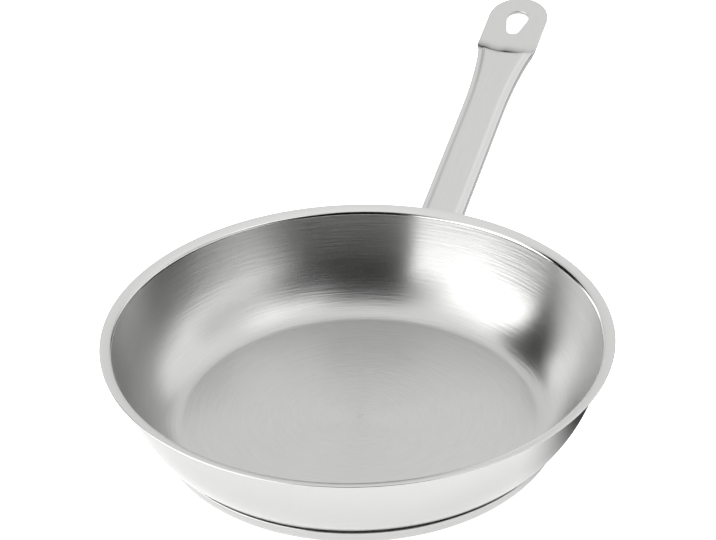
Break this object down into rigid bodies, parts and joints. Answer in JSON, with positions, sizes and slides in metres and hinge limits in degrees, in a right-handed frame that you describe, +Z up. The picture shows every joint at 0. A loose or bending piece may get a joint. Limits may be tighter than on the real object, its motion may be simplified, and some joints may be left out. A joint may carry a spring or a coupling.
{
  "type": "frying pan",
  "caption": "Uncoated steel frying pan with a curved wall, flared pouring rim, thick encapsulated base and a long sloping pressed handle that ends in a hanging eye.",
  "frame": {"origin": "centre of the base's underside, where the pan stands on the table", "axes": "+Z up out of the bowl, +Y along the handle, away from the bowl, +X to its right"},
  "size_m": [0.24, 0.4305, 0.0804],
  "materials": {
    "bowl_steel": "brushed inside, polished outside",
    "cap_steel": "polished side, brushed underside",
    "handle_steel": "satin",
    "core_aluminium": "as rolled",
    "filler": "as cast",
    "weld_steel": "as welded"
  },
  "bodies": {
    "root": {"pan_body": "bowl_steel", "upper_braze_layer": "filler", "heat_core": "core_aluminium", "lower_braze_layer": "filler", "base_cap": "cap_steel", "handle": "handle_steel", "weld_nugget_1": "weld_steel", "weld_nugget_2": "weld_steel", "weld_nugget_3": "weld_steel", "weld_nugget_4": "weld_steel"}
  },
  "joints": []
}
